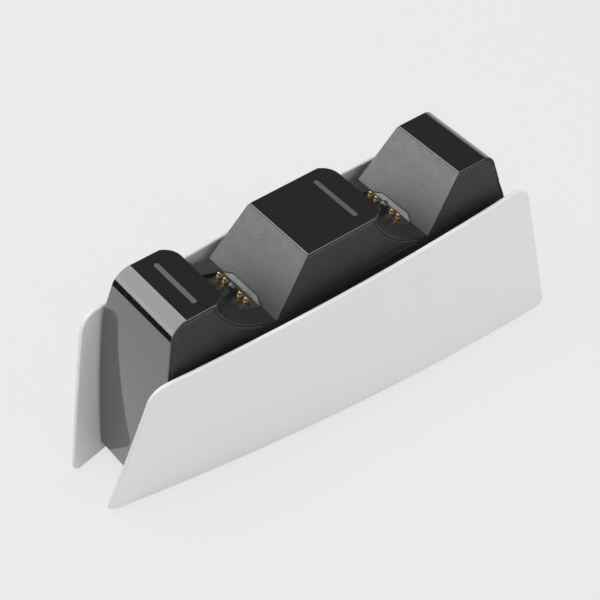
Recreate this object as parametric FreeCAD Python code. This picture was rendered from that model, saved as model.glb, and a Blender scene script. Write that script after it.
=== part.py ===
"""Controller charging dock: two bays between two bowed side panels.

Frame: X runs along the dock (left end is -X), -Y is the front, Z is up.
The origin is the bottom centre of the whole dock. All sizes are in mm.
"""
import math
import os

import FreeCAD
import Part

V = FreeCAD.Vector
os.makedirs("parts", exist_ok=True)

# Driving dimensions

# Pedestals and bays
TOP_Z = 85.85            # glossy tops
VALLEY_Z = 64.75         # foot of each slope
BODY_Z = 7.0             # bottom rim of the housing
TOP_HALF = 18.0          # half width of the tops
VALLEY_HALF = 21.25      # half width at the foot of the slopes
FOOT_HALF_L = 14.2       # half width of the housing at its bottom, left end
FOOT_HALF_R = 26.0       # the same at the right end
BAY_X = (-54.2, 19.9)    # where each bay starts at the side walls
BAY_VALLEY = 25.0        # from the start of a bay to the foot of its slope
BAY_LEN = 42.2           # from the start of a bay to the top of its slope
SCOOP_MID = (6.0, 75.5)  # a point of the scoop, x from the bay start, z
SCOOP_END = (19.4, 67.3) # where the scoop turns into the bay floor
NOSE = 5.5               # the tops reach this far over the bays
NOSE_CORNER = 7.7        # length along Y of their round corners

# Left and right ends of the body
LEFT_FOOT_X = -89.4
LEFT_MID = (-82.4, 46.0)
LEFT_R = 8.5             # rounding between the left end and the top
LEFT_TOP_X = -65.9
LEFT_END_DEG = 16.0      # lean of the end where the rounding starts
RIGHT_FOOT_X = 96.5
RIGHT_MID = (88.5, 49.0)
RIGHT_R = 6.0
RIGHT_TOP_X = 75.1
RIGHT_END_DEG = 14.0

# Walls
COVER_T = 1.4            # glossy covers
WALL = 2.2               # housing walls
ROOF_Z = 81.5            # inside of the pedestals
FLOOR_IN_Z = 61.0        # inside, under the bay floors

# Side panels
PANEL_Z0 = 1.0
PANEL_Z1 = 66.95
PANEL_T = 1.8
PANEL_FOOT_X = 104.5     # half length at the bottom
PANEL_SHIFT = 0.24       # keeps the rounded ends the same way from the middle
PANEL_TOP_L = -86.0
PANEL_TOP_R = 94.6
PANEL_FOOT_HALF = (12.9, 34.3)   # half width at the bottom corners
PANEL_FOOT_BOW = 5.2
PANEL_TOP_HALF = (22.2, 24.4)    # the same for the top edge line
PANEL_TOP_BOW = 4.7
PANEL_R_TOP = 9.0
PANEL_R_FOOT = 3.0
TAB_X = (-60.0, 3.0, 66.0)
TAB_W = 14.0
TAB_T = 2.4
TAB_Z = 38.0
TAB_IN = 2.0             # the tabs reach this far inside the walls

# Contact modules
PIN_X = 20.5             # from the bay start
PIN_Y = (-8.35, -4.75, 4.75, 8.35)
PIN_OUT = 1.7            # the tips stand this far out of their barrels
PIN_R = 0.70
BARREL_R = 1.15
BARREL_TOP_Z = 68.0
BARREL_Z = 57.4
PIN_TIP_Z = BARREL_TOP_Z + PIN_OUT
BORE_R = 0.92
LIP = 0.8
PIN_CLEAR = 0.05
COLLAR_R = 0.85
COLLAR_H = 0.9
COLLAR_GAP = 0.1
SPRING_WIRE = 0.15       # half the wire's width across its corners
SPRING_R = 0.62
SPRING_TURNS = 4
BLOCK_HALF = 11.5
BLOCK_GAP = 0.25         # dark line round the contact block
BLOCK_X = (14.6, 28.4)   # from the bay start
DISH_MID = (17.4, 66.7)
DISH_END = (20.6, 65.75)
TONGUE_H = 1.4           # height of the tongue on the slope
TONGUE_TOP_HALF = 7.0
TONGUE_CORNER = (1.5, 0.4)   # its cut corners, along Y and down
POST_R = 1.7
POST_TIP_Z = 70.4
FLANGE_HALF = 15.0
CONTACT_SCREW_Y = 13.2
SCREW_R = 0.7            # the contact boards' screws
SCREW_HEAD_R = 1.6
BOARD_T = 1.0
LEDGE_X = 15.8           # matte ledge behind the dish, from the bay start
LEDGE_Y = 11.9
LEDGE_Z = 66.7           # the ledge falls from here to the foot of the slope

# Light guides
GUIDE_X = -4.45          # from the bay start
GUIDE_L = 25.3
GUIDE_W = 2.0
GUIDE_FLANGE = 1.2
GUIDE_LEG_Y = 10.5
LIGHT_BOARD_Z = 76.0
LIGHT_BOARD_HALF_X = 3.0
LIGHT_BOSS_R = 1.4
LIGHT_BOSS_GAP = 0.2     # between a boss and the end of the guide's flange
LIGHT_BOSS_Y = GUIDE_L / 2 + GUIDE_FLANGE + LIGHT_BOSS_GAP + LIGHT_BOSS_R

# Base
COLUMN_AT = ((-66.0, 9.5), (0.0, 13.0), (74.0, 14.0))
COLUMN_R = 3.0
COLUMN_Z = 9.6
COVER_Z = 1.6
COVER_FLOOR = 2.2
COVER_X = (-80.0, 87.0)
COVER_HALF = (11.0, 21.5)
FEET_AT = ((-48.0, 7.0), (56.0, 14.0))
FOOT_R = 4.5
FOOT_SINK = 1.0
MAIN_X = (-62.0, 88.2)
MAIN_HALF = 8.5
MAIN_Z = 12.0
MAIN_T = 1.2
STAND_AT = (-24.0, 64.0)

# Power socket
SOCKET_W = 8.94
SOCKET_H = 3.26
SOCKET_L = 7.4
SOCKET_WALL = 0.3
SOCKET_FRONT_X = 91.0
RECESS_FLOOR_X = 90.4
RECESS_W = 13.0
RECESS_H = 7.4
RECESS_R = 2.4

FAR = 60.0


def save(shape, name):
    """Write one node."""
    solid = shape.removeSplitter() if shape.ShapeType != "Solid" else shape
    solid.exportStep("parts/" + name + ".step")


def one(shape):
    """Return the single solid of a boolean result."""
    solids = shape.Solids
    return solids[0] if len(solids) == 1 else shape


def box(x0, x1, y0, y1, z0, z1):
    return Part.makeBox(x1 - x0, y1 - y0, z1 - z0, V(x0, y0, z0))


def rod(x, y, z0, z1, r):
    return Part.makeCylinder(r, z1 - z0, V(x, y, z0))


def line(a, b):
    return Part.makeLine(V(a[0], -FAR, a[1]), V(b[0], -FAR, b[1]))


def arc(a, m, b):
    return Part.Arc(V(a[0], -FAR, a[1]), V(m[0], -FAR, m[1]), V(b[0], -FAR, b[1])).toShape()


def prism(edges, y0=-FAR, y1=FAR):
    """Extrude a closed XZ outline from y0 to y1."""
    solid = Part.Face(Part.Wire(edges)).extrude(V(0, y1 - y0, 0))
    solid.translate(V(0, y0 + FAR, 0))
    return solid


def poly(points):
    return [line(points[i], points[(i + 1) % len(points)]) for i in range(len(points))]


def fuse(shapes):
    result = shapes[0]
    for shape in shapes[1:]:
        result = result.fuse(shape)
    return result


def cut(shape, tools):
    for tool in tools:
        shape = shape.cut(tool)
    return shape


def slot_xy(x, half_len, half_w, z0, z1):
    """Bar along Y with round ends."""
    bar = box(x - half_w, x + half_w, half_w - half_len, half_len - half_w, z0, z1)
    ends = [rod(x, s * (half_len - half_w), z0, z1, half_w) for s in (-1, 1)]
    return fuse([bar] + ends).removeSplitter()


def rounded_yz(x0, x1, half_w, half_h, z, r):
    """Block along X with a rounded cross-section."""
    block = box(x0, x1, -half_w, half_w, z - half_h, z + half_h)
    return block.makeFillet(r, [e for e in block.Edges if abs(e.Vertexes[0].X - e.Vertexes[1].X) > 0.5])


# Body outline seen from the front

def polar(cx, cz, r, deg):
    return (cx + r * math.cos(math.radians(deg)), cz + r * math.sin(math.radians(deg)))


L0 = (LEFT_FOOT_X, BODY_Z)
L2 = polar(LEFT_TOP_X, TOP_Z - LEFT_R, LEFT_R, 180 - LEFT_END_DEG)
L_MID = polar(LEFT_TOP_X, TOP_Z - LEFT_R, LEFT_R, (270 - LEFT_END_DEG) / 2)
L3 = (LEFT_TOP_X, TOP_Z)
R0 = (RIGHT_TOP_X, TOP_Z)
R_MID = polar(RIGHT_TOP_X, TOP_Z - RIGHT_R, RIGHT_R, (90 + RIGHT_END_DEG) / 2)
R1 = polar(RIGHT_TOP_X, TOP_Z - RIGHT_R, RIGHT_R, RIGHT_END_DEG)
R2 = (RIGHT_FOOT_X, BODY_Z)


def foot_half(x):
    """Half width of the housing at its bottom rim."""
    t = (x - LEFT_FOOT_X) / (RIGHT_FOOT_X - LEFT_FOOT_X)
    return FOOT_HALF_L + t * (FOOT_HALF_R - FOOT_HALF_L)


def wall_half(x, z):
    """Half width of the outer walls."""
    if z > VALLEY_Z:
        t = (z - VALLEY_Z) / (TOP_Z - VALLEY_Z)
        return VALLEY_HALF + t * (TOP_HALF - VALLEY_HALF)
    t = (z - BODY_Z) / (VALLEY_Z - BODY_Z)
    return foot_half(x) + t * (VALLEY_HALF - foot_half(x))


def walls(inset):
    """Everything between the front and back walls, moved in by inset."""
    wires = []
    for x in (LEFT_FOOT_X - 6, RIGHT_FOOT_X + 6):
        half = [(wall_half(x, z) - inset, z) for z in (BODY_Z - 2, VALLEY_Z, TOP_Z + 8)]
        loop = [V(x, y, z) for y, z in half] + [V(x, -y, z) for y, z in reversed(half)]
        wires.append(Part.makePolygon(loop + [loop[0]]))
    return Part.makeLoft(wires, True, True)


def bay_cutter(s):
    """Everything above the scoop, the bay floor and the slope."""
    a = (s, TOP_Z)
    m = (s + SCOOP_MID[0], SCOOP_MID[1])
    b = (s + SCOOP_END[0], SCOOP_END[1])
    c = (s + BAY_VALLEY, VALLEY_Z)
    d = (s + BAY_LEN, TOP_Z)
    up = TOP_Z + 8
    return prism([arc(a, m, b), line(b, c), line(c, d), line(d, (d[0], up)),
                  line((d[0], up), (s, up)), line((s, up), a)])


def nose(s, inset, drop):
    """Round-cornered end of a top, standing over the scoop, with the walls' lean."""
    corner_r = (NOSE ** 2 + NOSE_CORNER ** 2) / (2 * NOSE)
    cx = s + NOSE - corner_r
    r = corner_r - inset
    wires = []
    for z in (VALLEY_Z, TOP_Z - drop):
        cy = wall_half(s, z) - NOSE_CORNER
        half = wall_half(s, z) - inset
        turn = math.asin((half - cy) / r)
        rim = [V(cx + r * math.cos(turn * k), cy + r * math.sin(turn * k), z) for k in (1.0, 0.5, 0.0)]
        back = [V(p.x, -p.y, p.z) for p in reversed(rim)]
        ends = [V(s - 1.0, -half, z), V(s - 1.0, half, z)]
        wires.append(Part.Wire([Part.makeLine(ends[1], rim[0]), Part.Arc(*rim).toShape(),
                                Part.makeLine(rim[2], back[0]), Part.Arc(*back).toShape(),
                                Part.makeLine(back[2], ends[0]), Part.makeLine(ends[0], ends[1])]))
    return Part.makeLoft(wires, True, True)


WALLS_OUT = walls(0.0)
WALLS_IN = walls(WALL)
block_out = prism([arc(L0, LEFT_MID, L2), arc(L2, L_MID, L3), line(L3, R0),
                   arc(R0, R_MID, R1), arc(R1, RIGHT_MID, R2), line(R2, L0)])
body = cut(block_out, [bay_cutter(s) for s in BAY_X])
body = fuse([body] + [nose(s, 0.0, 0.0) for s in BAY_X]).common(WALLS_OUT)


# Glossy covers

def end_band(start, mid, end, corner_mid, corner_end, t, sign):
    """Skin of one end and its rounding, t thick, with the inner side cut back."""
    cx = corner_end[0]
    r = TOP_Z - t - (TOP_Z - (LEFT_R if sign < 0 else RIGHT_R))
    deg = LEFT_END_DEG if sign < 0 else RIGHT_END_DEG
    cz = TOP_Z - (LEFT_R if sign < 0 else RIGHT_R)
    if sign < 0:
        e_in = polar(cx, cz, r, 180 - deg)
        c_in = polar(cx, cz, r, (270 - deg) / 2)
    else:
        e_in = polar(cx, cz, r, deg)
        c_in = polar(cx, cz, r, (90 + deg) / 2)
    s_in = (start[0] - sign * t, start[1])
    m_in = (mid[0] - sign * t, mid[1])
    top_in = (cx, TOP_Z - t)
    return [arc(start, mid, end), arc(end, corner_mid, corner_end), line(corner_end, top_in),
            arc(top_in, c_in, e_in), arc(e_in, m_in, s_in), line(s_in, start)]


def scoop_band(s, t):
    """Skin of the scoop and of the bay floor."""
    a = (s, TOP_Z)
    m = (s + SCOOP_MID[0], SCOOP_MID[1])
    b = (s + SCOOP_END[0], SCOOP_END[1])
    c = (s + BAY_VALLEY, VALLEY_Z)
    low = [(p[0] - 0.45 * t, p[1] - 0.9 * t) for p in (a, m, b, c)]
    return prism([arc(a, m, b), line(b, c), line(c, low[3]), line(low[3], low[2]),
                  arc(low[2], low[1], low[0]), line(low[0], a)])


def top_plate(x0, x1):
    return box(x0, x1, -FAR, FAR, TOP_Z - COVER_T, TOP_Z + 1)


def tongue_zone(s, grow):
    """Trapezoid prism in front of the slope, narrower to the top."""
    rise = (TOP_Z - VALLEY_Z) / (BAY_LEN - BAY_VALLEY)
    x_foot = s + BAY_VALLEY - 1.0
    z_top = VALLEY_Z + TONGUE_H + grow
    half = BLOCK_HALF + grow
    top = TONGUE_TOP_HALF + grow
    pts = [V(x_foot, -half, FLOOR_IN_Z - 6), V(x_foot, half, FLOOR_IN_Z - 6),
           V(x_foot, half, VALLEY_Z), V(x_foot, top + TONGUE_CORNER[0], z_top - TONGUE_CORNER[1]),
           V(x_foot, top, z_top), V(x_foot, -top, z_top),
           V(x_foot, -top - TONGUE_CORNER[0], z_top - TONGUE_CORNER[1]), V(x_foot, -half, VALLEY_Z)]
    depth = 1.0 + (BLOCK_X[1] - BAY_VALLEY) + grow + 0.6 * (rise - 1.0)
    return Part.Face(Part.makePolygon(pts + [pts[0]])).extrude(V(depth, 0, 0))


def module_space(s, grow):
    """All the room that one contact block takes up in the housing and cover."""
    dish = box(s + BLOCK_X[0] - grow, s + BAY_VALLEY - 0.5, -BLOCK_HALF - grow, BLOCK_HALF + grow,
               FLOOR_IN_Z - 6, TOP_Z)
    return dish.fuse(tongue_zone(s, grow)).removeSplitter()


def ledge_space(s):
    """The air over the flatter ledge beside the contact block, at the back."""
    x0 = s + LEDGE_X
    x1 = s + BAY_VALLEY
    return prism(poly([(x0, LEDGE_Z), (x1, VALLEY_Z), (x1, TOP_Z), (x0, TOP_Z)]), LEDGE_Y, FAR)


def guide_slot(s, grow, z0, z1):
    return slot_xy(s + GUIDE_X, GUIDE_L / 2 + grow, GUIDE_W / 2 + grow, z0, z1)


def nose_top(s):
    """Plan shape of a top with its round corners."""
    return nose(s, 0.0, 0.0).fuse(box(s - 60, s, -FAR, FAR, VALLEY_Z, TOP_Z + 1))


left_band = prism(end_band(L0, LEFT_MID, L2, L_MID, L3, COVER_T, -1))
left_top = top_plate(LEFT_TOP_X, BAY_X[0] + NOSE).common(nose_top(BAY_X[0]))
mid_top = top_plate(BAY_X[0] + BAY_LEN, BAY_X[1] + NOSE).common(nose_top(BAY_X[1]))
right_band = prism(end_band(R2, RIGHT_MID, R1, R_MID, R0, COVER_T, 1))
right_top = top_plate(BAY_X[1] + BAY_LEN, RIGHT_TOP_X)


def scoop_skin(s):
    """Glossy skin below a nose: its side wall, the scoop and the bay floor."""
    ring = nose(s, 0.0, 0.0).cut(nose(s, COVER_T, 0.0)).cut(box(s - 2, s, -FAR, FAR, 0, TOP_Z))
    ring = ring.common(bay_cutter(s).fuse(scoop_band(s, COVER_T)))
    skin = scoop_band(s, COVER_T).cut(nose(s, COVER_T, 0.0))
    skin = skin.cut(box(s + LEDGE_X, s + BAY_LEN, LEDGE_Y, FAR, 0, TOP_Z))
    return [ring, skin]


RIGHT_COVER_Z = 24.0
left_raw = fuse([left_band, left_top] + scoop_skin(BAY_X[0])).common(body)
mid_raw = fuse([mid_top] + scoop_skin(BAY_X[1])).common(body)
right_raw = fuse([right_band, right_top]).common(body)
right_raw = right_raw.cut(box(RIGHT_TOP_X, FAR * 2, -FAR, FAR, 0, RIGHT_COVER_Z))
left_cover = cut(left_raw, [module_space(BAY_X[0], BLOCK_GAP), guide_slot(BAY_X[0], 0.0, ROOF_Z, TOP_Z + 1)])
mid_cover = cut(mid_raw, [module_space(BAY_X[1], BLOCK_GAP), guide_slot(BAY_X[1], 0.0, ROOF_Z, TOP_Z + 1)])
right_cover = right_raw
save(left_cover, "left_top_cover")
save(mid_cover, "mid_top_cover")
save(right_cover, "right_top_cover")

# Housing

def slope_in(s, z, gap):
    """X of the inside of a slope wall at height z."""
    run = (BAY_LEN - BAY_VALLEY) / (TOP_Z - VALLEY_Z)
    return s + BAY_VALLEY + (z - VALLEY_Z) * run + gap


def bay_roof(s):
    """Inside corners under one bay, from the pedestal on its left to the one on its right."""
    z_mid = SCOOP_MID[1] - 1.0
    z_low = SCOOP_END[1] - 2.7
    drop = COVER_T + WALL
    return [(s + 0.6, ROOF_Z), (s + SCOOP_MID[0] - drop, z_mid), (s + SCOOP_MID[0] - 0.3, z_mid - 5.0),
            (s + SCOOP_END[0] - 7.9, z_low), (s + SCOOP_END[0] - 6.4, FLOOR_IN_Z),
            (slope_in(s, FLOOR_IN_Z, SLOPE_RUN), FLOOR_IN_Z), (slope_in(s, ROOF_Z, SLOPE_RUN), ROOF_Z)]


END_IN = COVER_T + WALL
SLOPE_RUN = 1.55 * WALL
cavity_xz = [(LEFT_FOOT_X + END_IN + 0.8, BODY_Z - 4), (LEFT_MID[0] + END_IN + 0.1, LEFT_MID[1]),
             (L2[0] + END_IN, L2[1] - 3.7), (LEFT_TOP_X - 1.6, ROOF_Z)]
for s in BAY_X:
    cavity_xz += bay_roof(s)
cavity_xz += [(RIGHT_TOP_X - 0.1, ROOF_Z), (R1[0] - END_IN + 0.8, R1[1] - 5.2),
              (RIGHT_MID[0] - END_IN - 0.5, RIGHT_MID[1] - 3.0), (RECESS_FLOOR_X - 1.6, RIGHT_COVER_Z - 2.0),
              (RECESS_FLOOR_X - 1.6, BODY_Z - 4)]
cavity = prism(poly(cavity_xz)).common(WALLS_IN)

housing = cut(body, [left_raw, mid_raw, right_raw, cavity])
bosses = []
for cx, cy in COLUMN_AT:
    for s in (-1, 1):
        bosses.append(rod(cx, s * cy, COLUMN_Z, ROOF_Z + 1, COLUMN_R))
for s in BAY_X:
    for y in (-LIGHT_BOSS_Y, LIGHT_BOSS_Y):
        bosses.append(rod(s + GUIDE_X, y, LIGHT_BOARD_Z + BOARD_T, ROOF_Z + 1, LIGHT_BOSS_R))
housing = fuse([housing] + [b.common(body.cut(fuse([left_raw, mid_raw, right_raw]))) for b in bosses])
SOCKET_Z = MAIN_Z + MAIN_T + SOCKET_H / 2
holes = []
for cx, cy in COLUMN_AT:
    for s in (-1, 1):
        holes.append(rod(cx, s * cy, COLUMN_Z - 1, COLUMN_Z + 9, 1.1))
for s in BAY_X:
    holes.append(module_space(s, BLOCK_GAP))
    holes.append(ledge_space(s))
    holes.append(guide_slot(s, 0.0, ROOF_Z - 1, TOP_Z + 1))
    for y in (-LIGHT_BOSS_Y, LIGHT_BOSS_Y):
        holes.append(rod(s + GUIDE_X, y, LIGHT_BOARD_Z, LIGHT_BOARD_Z + 4.5, 0.6))
    for y in (-1, 1):
        holes.append(rod(s + PIN_X, y * CONTACT_SCREW_Y, FLOOR_IN_Z - 1, FLOOR_IN_Z + 3.5, SCREW_R))
holes.append(rounded_yz(RECESS_FLOOR_X, FAR * 2, RECESS_W / 2, RECESS_H / 2, SOCKET_Z, RECESS_R))
holes.append(rounded_yz(86.0, 92.0, SOCKET_W / 2, SOCKET_H / 2, SOCKET_Z, SOCKET_H / 2 - 0.05))


# Side panels

def panel_y(x, z):
    """Half distance between the outer faces of the panels."""
    u = x / PANEL_FOOT_X
    foot = (PANEL_FOOT_HALF[0] * (1 - u) + PANEL_FOOT_HALF[1] * (1 + u)) / 2
    foot += PANEL_FOOT_BOW * (1 - u * u)
    top = (PANEL_TOP_HALF[0] * (1 - u) + PANEL_TOP_HALF[1] * (1 + u)) / 2
    top += PANEL_TOP_BOW * (1 - u * u)
    t = (z - PANEL_Z0) / (PANEL_Z1 - PANEL_Z0)
    return foot + t * (top - foot)


def panel_slab(side, y_in, y_out):
    """Smooth loft between two offsets of the panel face; None goes to Y = 0."""
    wires = []
    for i in range(9):
        x = -112 + 28 * i
        lo, hi = PANEL_Z0 - 3, PANEL_Z1 + 3
        inner = [(0.0 if y_in is None else panel_y(x, z) + y_in, z) for z in (lo, hi)]
        outer = [(panel_y(x, z) + y_out, z) for z in (hi, lo)]
        loop = [V(x, side * y, z) for y, z in inner + outer]
        wires.append(Part.makePolygon(loop + [loop[0]]))
    return Part.makeLoft(wires, True, False)


def panel_outline():
    """XZ outline of a panel with its four round corners."""
    corners = [(-PANEL_FOOT_X - PANEL_SHIFT, PANEL_Z0, PANEL_R_FOOT),
               (PANEL_FOOT_X - PANEL_SHIFT, PANEL_Z0, PANEL_R_FOOT),
               (PANEL_TOP_R, PANEL_Z1, PANEL_R_TOP), (PANEL_TOP_L, PANEL_Z1, PANEL_R_TOP)]
    edges = []
    ends = []
    for i, (x, z, r) in enumerate(corners):
        p = V(x, 0, z)
        a = V(corners[i - 1][0], 0, corners[i - 1][1]) - p
        b = V(corners[(i + 1) % 4][0], 0, corners[(i + 1) % 4][1]) - p
        a.normalize()
        b.normalize()
        half = a.getAngle(b) / 2
        mid = a + b
        mid.normalize()
        reach = r / math.tan(half)
        p0 = p + a * reach
        p1 = p + b * reach
        pm = p + mid * (r / math.sin(half) - r)
        ends.append((p0, pm, p1))
    for i, (p0, pm, p1) in enumerate(ends):
        edges.append(arc((p0.x, p0.z), (pm.x, pm.z), (p1.x, p1.z)))
        q = ends[(i + 1) % 4][0]
        edges.append(line((p1.x, p1.z), (q.x, q.z)))
    return edges


outline = prism(panel_outline())
for name, side in (("front_panel", -1), ("back_panel", 1)):
    sheet = panel_slab(side, -PANEL_T, 0.0).common(outline)
    tabs = []
    for tx in TAB_X:
        reach = wall_half(tx, TAB_Z) - WALL - TAB_IN
        y0, y1 = sorted((side * reach, side * 50.0))
        tab = box(tx - TAB_W / 2, tx + TAB_W / 2, y0, y1, TAB_Z, TAB_Z + TAB_T)
        tabs.append(tab.common(panel_slab(side, None, -PANEL_T / 2)))
        holes.append(box(tx - TAB_W / 2, tx + TAB_W / 2, *sorted((side * 12.0, side * 50.0)),
                         TAB_Z, TAB_Z + TAB_T).common(WALLS_OUT).cut(WALLS_IN))
    save(one(fuse([sheet] + tabs)), name)

housing = one(cut(housing, holes))
save(housing, "main_housing")

# Contact modules

for n, s in enumerate(BAY_X, 1):
    px = s + PIN_X
    a = (s + BLOCK_X[0], FLOOR_IN_Z - 0.0)
    dish_start = (s + BLOCK_X[0], 68.9)
    dish_mid = (s + DISH_MID[0], DISH_MID[1])
    dish_end = (s + DISH_END[0], DISH_END[1])
    foot = (s + BAY_VALLEY - 0.4, VALLEY_Z + 0.15)
    rise = (TOP_Z - VALLEY_Z) / (BAY_LEN - BAY_VALLEY)
    lip_x = s + BAY_VALLEY + 0.1 + TONGUE_H / rise
    lip = (lip_x, VALLEY_Z + TONGUE_H - 0.1)
    back_x = s + BLOCK_X[1] - 0.2
    profile = [line(a, dish_start), arc(dish_start, dish_mid, dish_end), line(dish_end, foot),
               line(foot, lip), line(lip, (back_x, lip[1])), line((back_x, lip[1]), (back_x, FLOOR_IN_Z)),
               line((back_x, FLOOR_IN_Z), a)]
    block = prism(profile).common(module_space(s, 0.0))
    flange = box(s + BLOCK_X[0] - 1.4, back_x, -FLANGE_HALF, FLANGE_HALF, BARREL_Z, FLOOR_IN_Z)
    post = rod(px, 0, FLOOR_IN_Z, POST_TIP_Z - POST_R, POST_R)
    dome = Part.makeSphere(POST_R, V(px, 0, POST_TIP_Z - POST_R))
    block = fuse([block, flange, post, dome])
    bores = [rod(px, y, BARREL_Z - 1, TOP_Z, BARREL_R) for y in PIN_Y]
    bores += [rod(px, y, BARREL_Z - 1, FLOOR_IN_Z + 1, SCREW_R + 0.25)
              for y in (-CONTACT_SCREW_Y, CONTACT_SCREW_Y)]
    save(one(cut(block, bores)), "contact_block_%d" % n)

    board_z = BARREL_Z - BOARD_T
    board = box(s + BLOCK_X[0] - 1.4, back_x, -FLANGE_HALF, FLANGE_HALF, board_z, BARREL_Z)
    board = cut(board, [rod(px, y, board_z - 1, BARREL_Z + 1, SCREW_R + 0.25)
                        for y in (-CONTACT_SCREW_Y, CONTACT_SCREW_Y)])
    save(board, "contact_board_%d" % n)
    screws = []
    for y in (-CONTACT_SCREW_Y, CONTACT_SCREW_Y):
        screws.append(rod(px, y, board_z, FLOOR_IN_Z + 3.0, SCREW_R))
        screws.append(rod(px, y, board_z - 1.2, board_z, SCREW_HEAD_R))
    save(fuse(screws), "contact_screws_%d" % n)

    for k, y in enumerate(PIN_Y, 1):
        tag = "%d_%d" % (n, k)
        barrel = rod(px, y, BARREL_Z, BARREL_TOP_Z, BARREL_R)
        barrel = barrel.cut(rod(px, y, BARREL_Z + 1.0, BARREL_TOP_Z - LIP, BORE_R))
        barrel = barrel.cut(rod(px, y, BARREL_TOP_Z - LIP - 0.5, BARREL_TOP_Z + 1, PIN_R + PIN_CLEAR))
        save(barrel, "pin_barrel_" + tag)
        collar_top = BARREL_TOP_Z - LIP - COLLAR_GAP
        collar_z = collar_top - COLLAR_H
        tip = PIN_TIP_Z - PIN_R
        pin = fuse([rod(px, y, collar_z, collar_top, COLLAR_R), rod(px, y, collar_z, tip, PIN_R),
                    Part.makeSphere(PIN_R, V(px, y, tip))])
        save(one(pin.removeSplitter()), "pin_plunger_" + tag)
        z0 = BARREL_Z + 1.0 + SPRING_WIRE
        z1 = collar_z - SPRING_WIRE
        helix = Part.makeHelix((z1 - z0) / SPRING_TURNS, z1 - z0, SPRING_R)
        corners = [V(SPRING_R + SPRING_WIRE * u, 0, SPRING_WIRE * w)
                   for u, w in ((1, 0), (0, 1), (-1, 0), (0, -1), (1, 0))]
        ring = Part.makePolygon(corners)
        coil = Part.Wire(helix.Edges).makePipeShell([ring], True, True)
        coil.translate(V(px, y, z0))
        save(coil, "pin_spring_" + tag)

    gx = s + GUIDE_X
    guide = guide_slot(s, 0.0, ROOF_Z, TOP_Z)
    flange = slot_xy(gx, GUIDE_L / 2 + GUIDE_FLANGE, GUIDE_W / 2 + GUIDE_FLANGE,
                     ROOF_Z - GUIDE_FLANGE, ROOF_Z)
    legs = [box(gx - 1.0, gx + 1.0, y - 1.0, y + 1.0, LIGHT_BOARD_Z + BOARD_T, ROOF_Z - GUIDE_FLANGE)
            for y in (-GUIDE_LEG_Y, GUIDE_LEG_Y)]
    save(one(fuse([guide, flange] + legs).removeSplitter()), "light_guide_%d" % n)
    plate_half = LIGHT_BOSS_Y + LIGHT_BOSS_R
    plate = box(gx - LIGHT_BOARD_HALF_X, gx + LIGHT_BOARD_HALF_X, -plate_half, plate_half,
                LIGHT_BOARD_Z, LIGHT_BOARD_Z + BOARD_T)
    plate = cut(plate, [rod(gx, y, LIGHT_BOARD_Z - 1, LIGHT_BOARD_Z + 2, 0.85)
                        for y in (-LIGHT_BOSS_Y, LIGHT_BOSS_Y)])
    save(plate, "light_board_%d" % n)
    chip_z = LIGHT_BOARD_Z + BOARD_T
    save(box(gx - 0.8, gx + 0.8, -1.4, 1.4, chip_z, chip_z + 0.8), "light_chip_%d" % n)
    screws = []
    for y in (-LIGHT_BOSS_Y, LIGHT_BOSS_Y):
        screws.append(rod(gx, y, LIGHT_BOARD_Z, LIGHT_BOARD_Z + 4.5, 0.6))
        screws.append(rod(gx, y, LIGHT_BOARD_Z - 1.0, LIGHT_BOARD_Z, 1.4))
    save(fuse(screws), "light_screws_%d" % n)

    main_top = MAIN_Z + MAIN_T
    save(box(px + 2.0, px + 2.8, -3.0, 3.0, main_top, board_z), "contact_lead_%d" % n)
    save(box(gx - 0.4, gx + 0.4, -2.0, 2.0, main_top, LIGHT_BOARD_Z), "light_lead_%d" % n)

# Base

def plinth(inset, z0, z1, x0, x1):
    """Tapered block under the housing."""
    wires = []
    for i, x in enumerate((x0, x1)):
        half = COVER_HALF[i] - inset
        top = half + 1.2
        loop = [V(x, -half, z0), V(x, half, z0), V(x, top, z1), V(x, -top, z1)]
        wires.append(Part.makePolygon(loop + [loop[0]]))
    return Part.makeLoft(wires, True, True)


floor_z = COVER_Z + COVER_FLOOR
base = plinth(0.0, COVER_Z, COLUMN_Z, COVER_X[0], COVER_X[1])
base = base.cut(plinth(2.0, floor_z, COLUMN_Z + 1, COVER_X[0] + 2, COVER_X[1] - 2))
adds = []
cuts = []
for cx, cy in COLUMN_AT:
    for s in (-1, 1):
        adds.append(rod(cx, s * cy, COVER_Z, COLUMN_Z, COLUMN_R + 0.4))
        cuts.append(rod(cx, s * cy, COVER_Z - 1, COLUMN_Z + 1, 1.4))
        cuts.append(rod(cx, s * cy, COVER_Z - 1, COVER_Z + 5.6, 2.6))
for x in STAND_AT:
    adds.append(rod(x, 0, COVER_Z + 0.5, MAIN_Z, 2.6))
    cuts.append(rod(x, 0, MAIN_Z - 5, MAIN_Z + 1, 0.9))
for x, y in FEET_AT:
    for s in (-1, 1):
        cuts.append(rod(x, s * y, COVER_Z - 1, COVER_Z + FOOT_SINK, FOOT_R))
        foot = rod(x, s * y, 0.0, COVER_Z + FOOT_SINK, FOOT_R)
        low = [e for e in foot.Edges if e.Closed and abs(e.CenterOfMass.z) < 1e-6]
        side_name = "front" if s < 0 else "back"
        end_name = "left" if x < 0 else "right"
        save(foot.makeChamfer(0.5, low), "foot_" + end_name + "_" + side_name)
base = one(cut(fuse([base] + adds), cuts).removeSplitter())
save(base, "bottom_cover")

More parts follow.
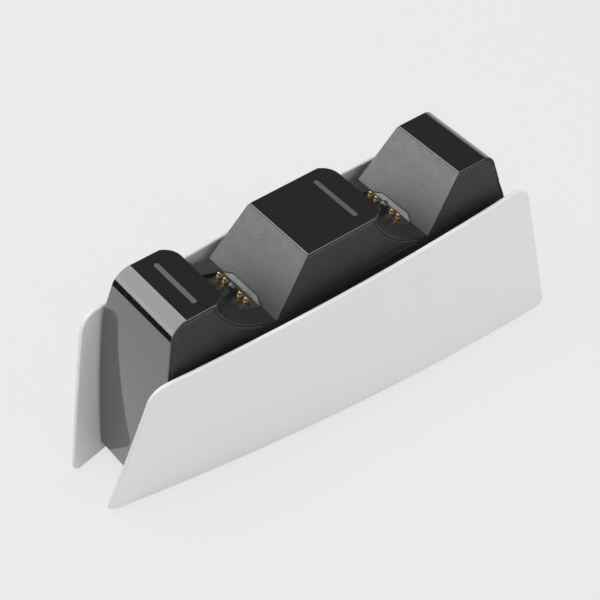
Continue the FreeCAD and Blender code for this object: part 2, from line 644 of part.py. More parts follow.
screws = []
for cx, cy in COLUMN_AT:
    for s in (-1, 1):
        screws.append(rod(cx, s * cy, COVER_Z + 5.6, COLUMN_Z + 7.5, 1.1))
        screws.append(rod(cx, s * cy, COVER_Z + 3.8, COVER_Z + 5.6, 2.3))
for x in STAND_AT:
    screws.append(rod(x, 0, MAIN_Z - 4, MAIN_Z + MAIN_T, 0.9))
save(Part.makeCompound([screws[i].fuse(screws[i + 1]) for i in range(0, 12, 2)]), "cover_screws")
heads = [rod(x, 0, MAIN_Z + MAIN_T, MAIN_Z + MAIN_T + 1.3, 1.9) for x in STAND_AT]
save(Part.makeCompound([screws[12 + i].fuse(heads[i]) for i in (0, 1)]), "board_screws")

main = box(MAIN_X[0], MAIN_X[1], -MAIN_HALF, MAIN_HALF, MAIN_Z, MAIN_Z + MAIN_T)
main = cut(main, [rod(x, 0, MAIN_Z - 1, MAIN_Z + 3, 0.9) for x in STAND_AT])
save(main, "main_board")
main_top = MAIN_Z + MAIN_T
save(box(-3.0, 4.0, -3.5, 3.5, main_top, main_top + 1.0), "charge_chip")
save(box(70.0, 76.5, -3.25, 3.25, main_top, main_top + 3.0), "power_coil")

# Power socket

x0 = SOCKET_FRONT_X - SOCKET_L
shell = rounded_yz(x0, SOCKET_FRONT_X, SOCKET_W / 2, SOCKET_H / 2, SOCKET_Z, SOCKET_H / 2 - 0.05)
bore = rounded_yz(x0 + 1.2, SOCKET_FRONT_X + 1, SOCKET_W / 2 - SOCKET_WALL, SOCKET_H / 2 - SOCKET_WALL,
                  SOCKET_Z, SOCKET_H / 2 - SOCKET_WALL - 0.05)
tongue = box(x0 + 1.0, SOCKET_FRONT_X - 1.0, -3.35, 3.35, SOCKET_Z - 0.35, SOCKET_Z + 0.35)
save(one(shell.cut(bore).fuse(tongue).removeSplitter()), "power_socket")
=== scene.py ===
import math

import bmesh
import bpy
import numpy as np
from bpy.props import FloatProperty, FloatVectorProperty, PointerProperty
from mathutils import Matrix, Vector


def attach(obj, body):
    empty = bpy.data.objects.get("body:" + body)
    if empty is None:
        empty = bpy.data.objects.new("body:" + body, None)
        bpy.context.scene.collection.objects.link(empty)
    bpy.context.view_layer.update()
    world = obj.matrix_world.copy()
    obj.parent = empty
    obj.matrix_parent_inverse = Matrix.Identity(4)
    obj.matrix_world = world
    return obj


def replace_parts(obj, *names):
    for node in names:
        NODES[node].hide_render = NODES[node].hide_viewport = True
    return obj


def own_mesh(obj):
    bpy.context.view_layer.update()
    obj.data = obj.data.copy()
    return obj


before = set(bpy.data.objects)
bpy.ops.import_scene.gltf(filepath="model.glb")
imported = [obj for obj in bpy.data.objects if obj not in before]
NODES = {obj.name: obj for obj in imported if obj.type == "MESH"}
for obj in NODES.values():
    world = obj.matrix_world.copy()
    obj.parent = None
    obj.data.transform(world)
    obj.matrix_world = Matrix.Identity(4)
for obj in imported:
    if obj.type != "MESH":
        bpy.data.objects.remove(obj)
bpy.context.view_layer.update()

bl_info = {
    "name": "Controller charging dock",
    "version": (1, 0, 0),
    "blender": (4, 5, 0),
    "location": "View3D > Sidebar > Dock",
    "description": "Dresses the packed charging dock with its surfaces, finishes and studio",
    "category": "Object",
}

MM = 0.001
BODY = "dock"

# Side panels, in mm, as in the part's own source
PANEL_Z0 = 1.0
PANEL_Z1 = 66.95
PANEL_T = 1.8
PANEL_FOOT_X = 104.5
PANEL_SHIFT = 0.24
PANEL_TOP_L = -86.0
PANEL_TOP_R = 94.6
PANEL_FOOT_HALF = (12.9, 34.3)
PANEL_FOOT_BOW = 5.2
PANEL_TOP_HALF = (22.2, 24.4)
PANEL_TOP_BOW = 4.7
PANEL_R_TOP = 9.0
PANEL_R_FOOT = 3.0

# Fineness of a side panel's surface
FACE_RINGS = 29              # from the middle of a face out to its rim
RIM_STEPS = 7                # round each half of the rim
SIDE_STEPS = 70              # along each side of the outline
CORNER_STEPS = 16            # round each corner of the outline

# Pedestals and bays, in mm, as in the part's own source
TOP_Z = 85.85
VALLEY_Z = 64.75
BODY_Z = 7.0
TOP_HALF = 18.0
VALLEY_HALF = 21.25
FOOT_HALF_L = 14.2
FOOT_HALF_R = 26.0
LEFT_FOOT_X = -89.4
RIGHT_FOOT_X = 96.5
LEFT_TOP_X = -65.9
LEFT_FLAT_X = -73.9          # beyond it the left end is flat
RIGHT_TOP_X = 75.1
SLOPE_TOP_X = (-12.0, 62.1)  # where each scoop's slope meets the top
BAY_FINISH_DROP = 1.2        # below the tops the bays' skin is a little less polished

# How near an edge lies to a wall, a top or a slope's end to count as on it, in mm
WALL_NEAR = 0.03
TOP_NEAR = 0.02
SLOPE_NEAR = 0.2
WAIST_MARGIN = 0.3           # a pedestal's edge lies wholly this far above the waist
FOOT_MARGIN = 1.0            # an edge down the left end has its middle this far above the foot

# Shares of a face's normal past which it counts as a wall, the left end's flat or a level shelf
WALL_FACING = 0.9
END_FACING = 0.965
SHELF_FACING = 0.97

# Merging of a copied node's mesh, in metres, and the angles at which its edges count
MERGE_GAP = 1e-7
TINY_EDGE = 1e-8
COVER_MERGE_GAP = 2e-6
SHORT_EDGE = 0.08 * MM
FLAT_ANGLE = math.radians(0.6)
BEND_ANGLE = math.radians(30.0)
COVER_SHARP_ANGLE = math.radians(33.0)
SHARP_ANGLE = math.radians(35.0)
ROUNDING_STEPS = 3

# Camera, worked out from the photograph
CAMERA_AT = (-0.28053, -0.35552, 0.49962)
CAMERA_ELEVATION = 45.396
CAMERA_AZIMUTH = -38.118
FOCAL_PX = 1634.0
FRAME_PX = 600.0
SENSOR_MM = 36.0

FLOOR_HALF = 6.0
FLOOR_GLOW = 0.88            # share of the floor that is plain paleness and takes no shadow

# Black flag that stands left of the dock and shows only in its polished end, in metres
FLAG_MIDDLE = (-0.229, 0.106)
FLAG_ALONG = (0.577, 0.816)
FLAG_HALF = 0.15
FLAG_LOW = 0.0006
FLAG_TOP = 0.098
FLAG_GREY = 0.01

# Soft lights: name, place in metres, width, height, radiance, whether they light matt surfaces, whether
# gloss mirrors them
LAMP_TARGET = (0.0, 0.0, 0.05)
LAMPS = (
    ("key", (-0.82, 0.96, 1.16), 2.9, 2.9, 2.5, False, True),
    ("top light", (-0.35, 0.35, 1.6), 1.6, 1.6, 3.3, True, False),
    ("fill", (-0.6, -2.4, 2.0), 3.4, 1.6, 1.0, True, True),
    ("rim light", (0.63, -0.9, 1.07), 0.4, 1.9, 2.1, True, True))

# Surroundings: (height, grey) in front and behind, and (share of the direction, weight) towards the back
# and the left
FRONT_WALL = ((0.30, 0.83), (0.50, 0.09))
BACK_WALL = ((0.0, 0.02), (0.20, 0.02), (0.24, 0.4), (0.5, 0.08))
TO_BACK = ((0.05, 0.0), (0.25, 1.0))
TO_LEFT = ((0.0, 0.0), (0.2, 1.0))


class DockSizes(bpy.types.PropertyGroup):
    """Sizes that the dressed pieces take."""

    panel_edge: FloatProperty(
        name="Panel edge", description="Rounding of the side panels' edges",
        default=0.8 * MM, min=0.2 * MM, max=0.88 * MM, unit="LENGTH")
    outer_edge: FloatProperty(
        name="Outer edge", description="Rounding of the long edges of the housing and the covers",
        default=0.45 * MM, min=0.1 * MM, max=0.6 * MM, unit="LENGTH")


class DockColours(bpy.types.PropertyGroup):
    """Colours of the dock's finishes."""

    white: FloatVectorProperty(
        name="White panels", description="Satin white of the side panels",
        subtype="COLOR", size=3, min=0.0, max=1.0, default=(0.74, 0.74, 0.74))
    black: FloatVectorProperty(
        name="Matt black", description="Fine-grained black of the housing",
        subtype="COLOR", size=3, min=0.0, max=1.0, default=(0.016, 0.016, 0.016))
    gloss: FloatVectorProperty(
        name="Gloss black", description="Polished black of the covers",
        subtype="COLOR", size=3, min=0.0, max=1.0, default=(0.009, 0.009, 0.009))
    gold: FloatVectorProperty(
        name="Contact gold", description="Plating of the contact pins",
        subtype="COLOR", size=3, min=0.0, max=1.0, default=(0.56, 0.43, 0.21))
    floor: FloatVectorProperty(
        name="Floor", description="Pale studio floor",
        subtype="COLOR", size=3, min=0.0, max=1.0, default=(0.82, 0.82, 0.82))


# Node helpers

def new_group(name, inputs, outputs):
    """A shader node group with named sockets, and its input and output nodes."""
    group = bpy.data.node_groups.new(name, "ShaderNodeTree")
    for label, kind, value in inputs:
        socket = group.interface.new_socket(label, in_out="INPUT", socket_type=kind)
        if value is not None:
            socket.default_value = value
    for label, kind in outputs:
        group.interface.new_socket(label, in_out="OUTPUT", socket_type=kind)
    return group, group.nodes.new("NodeGroupInput"), group.nodes.new("NodeGroupOutput")


def math_node(tree, operation, a, b=None, clamp=False):
    """A Math node; each operand is a number or a socket."""
    node = tree.nodes.new("ShaderNodeMath")
    node.operation = operation
    node.use_clamp = clamp
    for i, value in enumerate((a, b)):
        if value is None:
            continue
        if isinstance(value, (int, float)):
            node.inputs[i].default_value = value
        else:
            tree.links.new(value, node.inputs[i])
    return node.outputs[0]


def noise(tree, vector, scale, detail=2.0):
    node = tree.nodes.new("ShaderNodeTexNoise")
    tree.links.new(vector, node.inputs["Vector"])
    if isinstance(scale, (int, float)):
        node.inputs["Scale"].default_value = scale
    else:
        tree.links.new(scale, node.inputs["Scale"])
    node.inputs["Detail"].default_value = detail
    return node.outputs["Fac"]


def build_grain_group():
    """Moulded grain: a fine height field, a roughness change and a faint colour change."""
    group, gin, gout = new_group(
        "Moulded grain",
        [("Vector", "NodeSocketVector", None), ("Grain per metre", "NodeSocketFloat", 2500.0),
         ("Base roughness", "NodeSocketFloat", 0.5), ("Roughness change", "NodeSocketFloat", 0.1),
         ("Colour", "NodeSocketColor", (0.5, 0.5, 0.5, 1.0)), ("Colour change", "NodeSocketFloat", 0.1)],
        [("Height", "NodeSocketFloat"), ("Roughness", "NodeSocketFloat"), ("Colour", "NodeSocketColor")])
    links = group.links
    fine = noise(group, gin.outputs["Vector"], gin.outputs["Grain per metre"], 3.0)
    broad_scale = math_node(group, "MULTIPLY", gin.outputs["Grain per metre"], 0.12)
    broad = noise(group, gin.outputs["Vector"], broad_scale, 3.0)
    links.new(fine, gout.inputs["Height"])
    swing = math_node(group, "SUBTRACT", broad, 0.5)
    swing = math_node(group, "MULTIPLY", swing, gin.outputs["Roughness change"])
    rough = math_node(group, "ADD", swing, gin.outputs["Base roughness"], clamp=True)
    links.new(rough, gout.inputs["Roughness"])
    both = math_node(group, "ADD", fine, broad)
    fleck = math_node(group, "SUBTRACT", both, 1.0)
    fleck = math_node(group, "MULTIPLY", fleck, gin.outputs["Colour change"])
    value = math_node(group, "ADD", fleck, 1.0)
    tint = group.nodes.new("ShaderNodeHueSaturation")
    links.new(gin.outputs["Colour"], tint.inputs["Color"])
    links.new(value, tint.inputs["Value"])
    links.new(tint.outputs["Color"], gout.inputs["Colour"])
    return group


GRAIN = build_grain_group()


def finish_material(name, colour, roughness, change=0.05, grain=2500.0, fleck=0.05,
                    bump=0.1, depth=0.02, metallic=0.0, ior=1.5, coat=0.0, coat_roughness=0.05):
    """Principled material with the moulded grain on Object coordinates. depth is in mm."""
    mat = bpy.data.materials.new(name)
    mat.use_nodes = True
    tree = mat.node_tree
    shader = tree.nodes["Principled BSDF"]
    coord = tree.nodes.new("ShaderNodeTexCoord")
    group = tree.nodes.new("ShaderNodeGroup")
    group.node_tree = GRAIN
    tree.links.new(coord.outputs["Object"], group.inputs["Vector"])
    group.inputs["Grain per metre"].default_value = grain
    group.inputs["Base roughness"].default_value = roughness
    group.inputs["Roughness change"].default_value = change
    group.inputs["Colour"].default_value = (*colour, 1.0)
    group.inputs["Colour change"].default_value = fleck
    bump_node = tree.nodes.new("ShaderNodeBump")
    bump_node.inputs["Strength"].default_value = bump
    bump_node.inputs["Distance"].default_value = depth * MM
    tree.links.new(group.outputs["Height"], bump_node.inputs["Height"])
    tree.links.new(group.outputs["Colour"], shader.inputs["Base Color"])
    tree.links.new(group.outputs["Roughness"], shader.inputs["Roughness"])
    tree.links.new(bump_node.outputs["Normal"], shader.inputs["Normal"])
    shader.inputs["Metallic"].default_value = metallic
    shader.inputs["IOR"].default_value = ior
    shader.inputs["Coat Weight"].default_value = coat
    shader.inputs["Coat Roughness"].default_value = coat_roughness
    return mat


def dress(material, *nodes):
    """Give CAD nodes a material on their material slots."""
    for name in nodes:
        mesh = NODES[name].data
        if not mesh.materials:
            mesh.materials.append(material)
        for i in range(len(mesh.materials)):
            mesh.materials[i] = material


def numbered(stem):
    return sorted(n for n in NODES if n.startswith(stem))


# Mesh helpers

def ring_faces(rows, cols):
    """Quads between rows of closed rings with cols vertices each, as an index array."""
    r, c = np.meshgrid(np.arange(rows - 1), np.arange(cols), indexing="ij")
    nxt = (c + 1) % cols
    quads = np.stack([r * cols + c, r * cols + nxt, (r + 1) * cols + nxt, (r + 1) * cols + c], -1)
    return quads.reshape(-1, 4)


def smooth(mesh, sharp_angle):
    """Smooth shading, with edges past the angle kept sharp."""
    mesh.polygons.foreach_set("use_smooth", [True] * len(mesh.polygons))
    mesh.set_sharp_from_angle(angle=sharp_angle)


def riding_piece(name, mesh):
    """A piece of the dock's main body, linked to the scene and attached to the body's empty."""
    piece = bpy.data.objects.new(name, mesh)
    bpy.context.scene.collection.objects.link(piece)
    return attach(piece, BODY)


def make_piece(name, points, faces, material):
    """A piece from vertices in mm and faces, merged and outward."""
    mesh = bpy.data.meshes.new(name)
    mesh.from_pydata((np.asarray(points, float) * MM).tolist(), [], [list(map(int, f)) for f in faces])
    bm = bmesh.new()
    bm.from_mesh(mesh)
    bmesh.ops.remove_doubles(bm, verts=bm.verts, dist=MERGE_GAP)
    bmesh.ops.dissolve_degenerate(bm, dist=TINY_EDGE, edges=bm.edges)
    bmesh.ops.recalc_face_normals(bm, faces=bm.faces)
    bm.to_mesh(mesh)
    bm.free()
    mesh.materials.append(material)
    smooth(mesh, SHARP_ANGLE)
    return riding_piece(name, mesh)


def merged_copy(node, gap):
    """A CAD node's mesh as a bmesh of its own, with the triangles joined."""
    bm = bmesh.new()
    bm.from_mesh(NODES[node].data)
    bmesh.ops.remove_doubles(bm, verts=bm.verts, dist=gap)
    return bm


def wall_half(x, z):
    """Half width of the outer walls: straight in height from the foot to the waist and to the tops."""
    share = (x - LEFT_FOOT_X) / (RIGHT_FOOT_X - LEFT_FOOT_X)
    foot = FOOT_HALF_L + share * (FOOT_HALF_R - FOOT_HALF_L)
    if z > VALLEY_Z:
        return VALLEY_HALF + (z - VALLEY_Z) / (TOP_Z - VALLEY_Z) * (TOP_HALF - VALLEY_HALF)
    return foot + (z - BODY_Z) / (VALLEY_Z - BODY_Z) * (VALLEY_HALF - foot)


def is_outer(edge):
    """True for a long outer edge: on a wall above the waist or down the left end, or at a slope's top."""
    places = [v.co / MM for v in edge.verts]
    on_wall = all(abs(abs(c.y) - wall_half(c.x, c.z)) < WALL_NEAR for c in places)
    above = min(c.z for c in places) > VALLEY_Z + WAIST_MARGIN
    middle_z = sum(c.z for c in places) / 2
    down_end = max(c.x for c in places) < LEFT_FLAT_X and middle_z > BODY_Z + FOOT_MARGIN
    on_top = min(c.z for c in places) > TOP_Z - TOP_NEAR
    at_slope = all(min(abs(c.x - x) for x in SLOPE_TOP_X) < SLOPE_NEAR for c in places)
    return (on_wall and (above or down_end)) or (on_top and at_slope)


def face_finish(normal, middle):
    """Finish of each face: 0 polished, 1 wall, 2 rim at an end, 3 bay, 4 flat of the left end.

    It follows from the face's normal and its middle in mm. A level shelf in a bay counts as wall.
    """
    at_end = (middle[:, 0] < LEFT_TOP_X) | (middle[:, 0] > RIGHT_TOP_X)
    in_bay = ~at_end & (middle[:, 2] < TOP_Z - BAY_FINISH_DROP)
    finish = np.where(in_bay, 3, np.where(normal[:, 0] < -END_FACING, 4, 0))
    on_shelf = in_bay & (normal[:, 2] > SHELF_FACING)
    on_wall = np.abs(normal[:, 1]) > WALL_FACING
    return np.where(on_wall | on_shelf, np.where(at_end, 2, 1), finish).astype(int)


def face_vectors(mesh, attribute):
    """A vector of each face, such as its normal or its centre, as rows of an array."""
    values = np.zeros(len(mesh.polygons) * 3)
    mesh.polygons.foreach_get(attribute, values)
    return values.reshape(-1, 3)


def rounded_copy(node, width, materials):
    """A merged copy of a CAD node with its long outer edges rounded, which stands for the node.

    materials holds the finish of the polished faces, of the walls, of the rims at the ends, of the bays
    and of the left end's flat.
    """
    bm = merged_copy(node, COVER_MERGE_GAP)
    bmesh.ops.dissolve_limit(bm, angle_limit=FLAT_ANGLE, verts=bm.verts, edges=bm.edges)
    bmesh.ops.remove_doubles(bm, verts=bm.verts, dist=SHORT_EDGE)
    bent = [e for e in bm.edges if len(e.link_faces) == 2 and e.calc_face_angle_signed() > BEND_ANGLE]
    bmesh.ops.bevel(bm, geom=[e for e in bent if is_outer(e)], offset=width, offset_type="OFFSET",
                    segments=ROUNDING_STEPS, profile=0.5, affect="EDGES", clamp_overlap=False)
    mesh = bpy.data.meshes.new(node + "_skin")
    bm.to_mesh(mesh)
    bm.free()
    for material in materials:
        mesh.materials.append(material)
    finish = face_finish(face_vectors(mesh, "normal"), face_vectors(mesh, "center") / MM)
    mesh.polygons.foreach_set("material_index", finish)
    smooth(mesh, COVER_SHARP_ANGLE)
    piece = riding_piece(node + "_skin", mesh)
    even = piece.modifiers.new("Even shading", "WEIGHTED_NORMAL")
    even.keep_sharp = True
    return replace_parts(piece, node)


def panel_y(x, z):
    """Half distance between the panels' outer faces: two bows, blended in height."""
    u = x / PANEL_FOOT_X
    foot = (PANEL_FOOT_HALF[0] * (1 - u) + PANEL_FOOT_HALF[1] * (1 + u)) / 2
    foot = foot + PANEL_FOOT_BOW * (1 - u * u)
    top = (PANEL_TOP_HALF[0] * (1 - u) + PANEL_TOP_HALF[1] * (1 + u)) / 2
    top = top + PANEL_TOP_BOW * (1 - u * u)
    t = (z - PANEL_Z0) / (PANEL_Z1 - PANEL_Z0)
    return foot + t * (top - foot)


def panel_corners():
    return [(np.array((-PANEL_FOOT_X - PANEL_SHIFT, PANEL_Z0)), PANEL_R_FOOT),
            (np.array((PANEL_FOOT_X - PANEL_SHIFT, PANEL_Z0)), PANEL_R_FOOT),
            (np.array((PANEL_TOP_R, PANEL_Z1)), PANEL_R_TOP),
            (np.array((PANEL_TOP_L, PANEL_Z1)), PANEL_R_TOP)]


def panel_outline(inset):
    """XZ outline of a panel, moved in by inset: straight runs between four corner arcs.

    A corner's arc is the circle that touches both sides; its points are at even angles.
    """
    corners = panel_corners()
    arcs = []
    for i, (p, r) in enumerate(corners):
        a = corners[i - 1][0] - p
        b = corners[(i + 1) % 4][0] - p
        a = a / np.linalg.norm(a)
        b = b / np.linalg.norm(b)
        half = math.acos(float(a @ b)) / 2
        centre = p + (a + b) / np.linalg.norm(a + b) * r / math.sin(half)
        start = p + a * r / math.tan(half) - centre
        end = p + b * r / math.tan(half) - centre
        a0 = math.atan2(start[1], start[0])
        sweep = (math.atan2(end[1], end[0]) - a0 + math.pi) % (2 * math.pi) - math.pi
        angle = a0 + sweep * np.linspace(0, 1, CORNER_STEPS)
        arcs.append(centre + (r - inset) * np.stack([np.cos(angle), np.sin(angle)], -1))
    runs = []
    for i, arc in enumerate(arcs):
        nxt = arcs[(i + 1) % 4][0]
        t = np.linspace(0, 1, SIDE_STEPS + 1)[:-1, None]
        runs.append(arc[:-1])
        runs.append(arc[-1] + (nxt - arc[-1]) * t)
    return np.concatenate(runs)


def panel_points(side, edge):
    """Rings from the middle of the outer face, round the rim, to the middle of the inner face."""
    rim = panel_outline(edge)
    middle = rim.mean(0)
    shares = np.linspace(0.0, 1.0, FACE_RINGS + 1)[:-1]
    face = [middle + (rim - middle) * s for s in shares]
    quarter = np.radians(np.linspace(0, 90, RIM_STEPS))
    rings = [(xz, 0.0) for xz in face]
    rings += [(panel_outline(edge - edge * math.sin(q)), edge * (1 - math.cos(q))) for q in quarter]
    rings += [(panel_outline(edge - edge * math.cos(q)), PANEL_T - edge * (1 - math.sin(q))) for q in quarter]
    rings += [(xz, PANEL_T) for xz in reversed(face)]
    points = [np.stack([xz[:, 0], side * (panel_y(xz[:, 0], xz[:, 1]) - depth), xz[:, 1]], -1)
              for xz, depth in rings]
    return np.stack(points)


class DOCK_OT_panels(bpy.types.Operator):
    """Make the two bowed, twisted side panels"""

    bl_idname = "dock.panels"
    bl_label = "Side panels"

    def execute(self, context):
        colours = context.scene.dock_colours
        sizes = context.scene.dock_sizes
        white = finish_material("Satin white", colours.white, 0.42, change=0.06, grain=3200.0,
                                fleck=0.02, bump=0.12, depth=0.02)
        for name, side in (("front", -1.0), ("back", 1.0)):
            points = panel_points(side, sizes.panel_edge / MM)
            faces = ring_faces(*points.shape[:2])
            piece = make_piece(name + "_panel_shell", points.reshape(-1, 3), faces, white)
            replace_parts(piece, name + "_panel")
        return {"FINISHED"}


class DOCK_OT_housing(bpy.types.Operator):
    """Round the matt black housing's edges and give it and the bottom cover their moulded grain"""

    bl_idname = "dock.housing"
    bl_label = "Housing"

    def execute(self, context):
        colour = context.scene.dock_colours.black
        width = context.scene.dock_sizes.outer_edge
        grained = {"change": 0.3, "grain": 2000.0, "fleck": 1.6, "bump": 1.0, "depth": 0.11}
        black = finish_material("Grained black", colour, 0.5, ior=1.97, **grained)
        wall = finish_material("Grained wall", colour, 0.55, ior=1.47, **grained)
        dress(black, "main_housing", "bottom_cover")
        rounded_copy("main_housing", width, [black, wall, wall, black, black])
        return {"FINISHED"}


class DOCK_OT_covers(bpy.types.Operator):
    """Round the three covers' edges, and give them their polish and the contact blocks their satin"""

    bl_idname = "dock.covers"
    bl_label = "Gloss covers"

    def execute(self, context):
        colours = context.scene.dock_colours
        width = context.scene.dock_sizes.outer_edge
        polish = {"change": 0.02, "grain": 400.0, "fleck": 0.1, "bump": 0.02, "depth": 0.01, "coat": 1.0}
        satin = {"change": 0.05, "grain": 1500.0, "fleck": 0.3, "bump": 0.2, "depth": 0.02}
        gloss = finish_material("Polished black", colours.gloss, 0.045, ior=1.8, **polish)
        end = finish_material("Polished end", colours.gloss, 0.045, ior=2.05, **polish)
        rim = finish_material("Cover rim", colours.gloss, 0.5, ior=1.4, **satin)
        wall = finish_material("Cover wall", colours.black, 0.52, change=0.1, grain=1500.0,
                               fleck=0.9, bump=1.0, depth=0.1, ior=1.46)
        block = finish_material("Satin contact block", colours.gloss, 0.36, ior=1.95, **satin)
        bay = finish_material("Satin bay", colours.gloss, 0.42, ior=1.45, **satin)
        for node in ("left_top_cover", "mid_top_cover", "right_top_cover"):
            dress(gloss, node)
            rounded_copy(node, width, [gloss, wall, rim, bay, end])
        dress(block, "contact_block_1", "contact_block_2")
        return {"FINISHED"}


def shortening_spring(node, material):
    """A merged copy of a pin's spring, with a mesh of its own, which stands for the spring."""
    bm = merged_copy(node, MERGE_GAP)
    mesh = bpy.data.meshes.new(node + "_coil")
    bm.to_mesh(mesh)
    bm.free()
    mesh.materials.append(material)
    smooth(mesh, SHARP_ANGLE)
    piece = riding_piece(node + "_coil", mesh)
    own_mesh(piece)
    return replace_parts(piece, node)


class DOCK_OT_contacts(bpy.types.Operator):
    """Give the contact pins and barrels their metals and make merged copies of the springs"""

    bl_idname = "dock.contacts"
    bl_label = "Contacts"

    def execute(self, context):
        metal = {"grain": 9000.0, "fleck": 0.1, "bump": 0.05, "depth": 0.005, "metallic": 1.0}
        gold = finish_material("Plated gold", context.scene.dock_colours.gold, 0.26, change=0.08, **metal)
        steel = finish_material("Spring steel", (0.55, 0.55, 0.56), 0.3, change=0.1, **metal)
        dress(gold, *numbered("pin_plunger"), *numbered("pin_barrel"))
        dress(steel, "cover_screws", "board_screws", "power_socket", *numbered("contact_screws"),
              *numbered("light_screws"))
        for spring in numbered("pin_spring"):
            dress(steel, spring)
            shortening_spring(spring, steel)
        return {"FINISHED"}


class DOCK_OT_lights(bpy.types.Operator):
    """Give the light guides their milky plastic"""

    bl_idname = "dock.lights"
    bl_label = "Light guides"

    def execute(self, context):
        milky = finish_material("Smoked diffuser", (0.08, 0.08, 0.08), 0.35, change=0.06, grain=4000.0,
                                fleck=0.05, bump=0.05, depth=0.01)
        dress(milky, "light_guide_1", "light_guide_2")
        return {"FINISHED"}


class DOCK_OT_inside(bpy.types.Operator):
    """Give the boards, leads, chips and feet their finishes"""

    bl_idname = "dock.inside"
    bl_label = "Inside and feet"

    def execute(self, context):
        board = finish_material("Circuit board", (0.02, 0.12, 0.05), 0.4, change=0.1, grain=1500.0, fleck=0.4)
        lead = finish_material("Ribbon", (0.45, 0.30, 0.12), 0.5, change=0.1, grain=3000.0, fleck=0.2)
        chip = finish_material("Chip", (0.015, 0.015, 0.016), 0.45, change=0.1, grain=5000.0, fleck=0.3)
        rubber = finish_material("Rubber", (0.03, 0.03, 0.03), 0.85, change=0.1, grain=3500.0,
                                 fleck=0.3, bump=0.4, depth=0.04)
        dress(board, "main_board", *numbered("contact_board"), *numbered("light_board"))
        dress(lead, *numbered("contact_lead"), *numbered("light_lead"))
        dress(chip, "charge_chip", "power_coil", *numbered("light_chip"))
        dress(rubber, *numbered("foot_"))
        return {"FINISHED"}


def soft_box(name, place, width, height, radiance, on_matt, in_gloss):
    """An area lamp at place, facing the dock, whose surface shines at the given radiance."""
    lamp = bpy.data.lights.new(name, "AREA")
    lamp.shape = "RECTANGLE"
    lamp.size = width
    lamp.size_y = height
    lamp.energy = radiance * math.pi * width * height
    box = bpy.data.objects.new(name, lamp)
    box.location = place
    box.rotation_euler = (Vector(LAMP_TARGET) - Vector(place)).to_track_quat("-Z", "Y").to_euler()
    box.visible_diffuse = on_matt
    box.visible_glossy = in_gloss
    bpy.context.scene.collection.objects.link(box)


def ramp_node(tree, value, stops):
    """Grey levels along a value; stops holds (position, grey)."""
    node = tree.nodes.new("ShaderNodeValToRGB")
    tree.links.new(value, node.inputs["Fac"])
    while len(node.color_ramp.elements) < len(stops):
        node.color_ramp.elements.new(0.5)
    for element, (position, grey) in zip(node.color_ramp.elements, stops):
        element.position = position
        element.color = (grey, grey, grey, 1.0)
    return node.outputs["Color"]


def floor_material(colour):
    """Pale floor: mostly its own paleness for the camera and in gloss, with the shadow kept in the rest."""
    mat = bpy.data.materials.new("Studio floor")
    mat.use_nodes = True
    tree = mat.node_tree
    shader = tree.nodes["Principled BSDF"]
    shader.inputs["Base Color"].default_value = (*colour, 1.0)
    shader.inputs["Roughness"].default_value = 0.9
    shader.inputs["Specular IOR Level"].default_value = 0.0
    glow = tree.nodes.new("ShaderNodeEmission")
    glow.inputs["Color"].default_value = (*colour, 1.0)
    path = tree.nodes.new("ShaderNodeLightPath")
    seen = math_node(tree, "MAXIMUM", path.outputs["Is Camera Ray"], path.outputs["Is Glossy Ray"])
    seen = math_node(tree, "MAXIMUM", seen, path.outputs["Is Transmission Ray"])
    share = math_node(tree, "MULTIPLY", seen, FLOOR_GLOW)
    mix = tree.nodes.new("ShaderNodeMixShader")
    tree.links.new(share, mix.inputs["Fac"])
    tree.links.new(shader.outputs["BSDF"], mix.inputs[1])
    tree.links.new(glow.outputs["Emission"], mix.inputs[2])
    tree.links.new(mix.outputs["Shader"], tree.nodes["Material Output"].inputs["Surface"])
    return mat


def stage_sheet(name, corners, material):
    """A flat quad for the studio around the dock, linked to the scene."""
    mesh = bpy.data.meshes.new(name)
    mesh.from_pydata(corners, [], [(0, 1, 2, 3)])
    mesh.materials.append(material)
    sheet = bpy.data.objects.new(name, mesh)
    bpy.context.scene.collection.objects.link(sheet)
    return sheet


def standing_flag(name):
    """An upright black cloth that only gloss can see, as a photographer stands for a crisp dark line."""
    cloth = finish_material(name, (FLAG_GREY,) * 3, 0.9, change=0.0, fleck=0.0, bump=0.0)
    near, far = [[m + side * FLAG_HALF * a for m, a in zip(FLAG_MIDDLE, FLAG_ALONG)] for side in (-1, 1)]
    corners = [(*near, FLAG_LOW), (*far, FLAG_LOW), (*far, FLAG_TOP), (*near, FLAG_TOP)]
    flag = stage_sheet(name, corners, cloth)
    flag.visible_camera = False
    flag.visible_diffuse = False
    flag.visible_shadow = False


def surrounding_walls():
    """A world whose grey follows the direction: paler low down in front, darker towards the back left."""
    world = bpy.data.worlds.new("studio")
    world.use_nodes = True
    tree = world.node_tree
    background = tree.nodes["Background"]
    coord = tree.nodes.new("ShaderNodeTexCoord")
    split = tree.nodes.new("ShaderNodeSeparateXYZ")
    tree.links.new(coord.outputs["Generated"], split.inputs[0])
    front = ramp_node(tree, split.outputs["Z"], FRONT_WALL)
    behind = ramp_node(tree, split.outputs["Z"], BACK_WALL)
    to_back = ramp_node(tree, split.outputs["Y"], TO_BACK)
    to_left = ramp_node(tree, math_node(tree, "MULTIPLY", split.outputs["X"], -1.0), TO_LEFT)
    mix = tree.nodes.new("ShaderNodeMix")
    mix.data_type = "RGBA"
    tree.links.new(math_node(tree, "MULTIPLY", to_back, to_left), mix.inputs["Factor"])
    tree.links.new(front, mix.inputs["A"])
    tree.links.new(behind, mix.inputs["B"])
    tree.links.new(mix.outputs["Result"], background.inputs["Color"])
    background.inputs["Strength"].default_value = 1.0
    return world


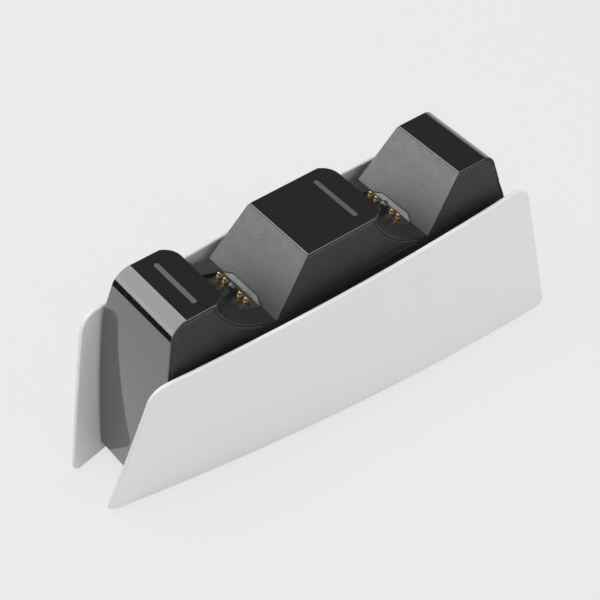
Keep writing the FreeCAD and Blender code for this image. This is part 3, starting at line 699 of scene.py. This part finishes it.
def photo_camera():
    """A camera that stands where the photograph was taken from, with its lens."""
    lens = bpy.data.cameras.new("photo_camera")
    lens.sensor_width = SENSOR_MM
    lens.lens = FOCAL_PX / FRAME_PX * SENSOR_MM
    camera = bpy.data.objects.new("photo_camera", lens)
    camera.location = CAMERA_AT
    camera.rotation_euler = (math.radians(90.0 - CAMERA_ELEVATION), 0.0, math.radians(CAMERA_AZIMUTH))
    bpy.context.scene.collection.objects.link(camera)
    return camera


class DOCK_OT_stage(bpy.types.Operator):
    """Make the floor, the soft lights, the flag, the surrounding walls and the camera"""

    bl_idname = "dock.stage"
    bl_label = "Stage"

    def execute(self, context):
        scene = context.scene
        h = FLOOR_HALF
        stage_sheet("studio_floor", [(-h, -h, 0), (h, -h, 0), (h, h, 0), (-h, h, 0)],
                    floor_material(scene.dock_colours.floor))
        for lamp in LAMPS:
            soft_box(*lamp)
        standing_flag("black flag")
        scene.world = surrounding_walls()
        scene.camera = photo_camera()
        scene.view_settings.view_transform = "Standard"
        return {"FINISHED"}


OPERATORS = (DOCK_OT_stage, DOCK_OT_panels, DOCK_OT_housing, DOCK_OT_covers, DOCK_OT_contacts,
             DOCK_OT_lights, DOCK_OT_inside)


class DOCK_PT_tools(bpy.types.Panel):
    """Lists the dock's pieces and the sizes and colours they take"""

    bl_label = "Charging dock"
    bl_idname = "DOCK_PT_tools"
    bl_space_type = "VIEW_3D"
    bl_region_type = "UI"
    bl_category = "Dock"

    def draw(self, context):
        for group in (context.scene.dock_sizes, context.scene.dock_colours):
            for name in group.__annotations__:
                self.layout.prop(group, name)
        for operator in OPERATORS:
            self.layout.operator(operator.bl_idname)


CLASSES = (DockSizes, DockColours) + OPERATORS + (DOCK_PT_tools,)


def register():
    for cls in CLASSES:
        bpy.utils.register_class(cls)
    bpy.types.Scene.dock_sizes = PointerProperty(type=DockSizes)
    bpy.types.Scene.dock_colours = PointerProperty(type=DockColours)


def unregister():
    del bpy.types.Scene.dock_colours
    del bpy.types.Scene.dock_sizes
    for cls in reversed(CLASSES):
        bpy.utils.unregister_class(cls)


def main():
    register()
    for operator in OPERATORS:
        group, name = operator.bl_idname.split(".")
        getattr(getattr(bpy.ops, group), name)()
    bpy.context.view_layer.update()


if __name__ == "__main__":
    main()
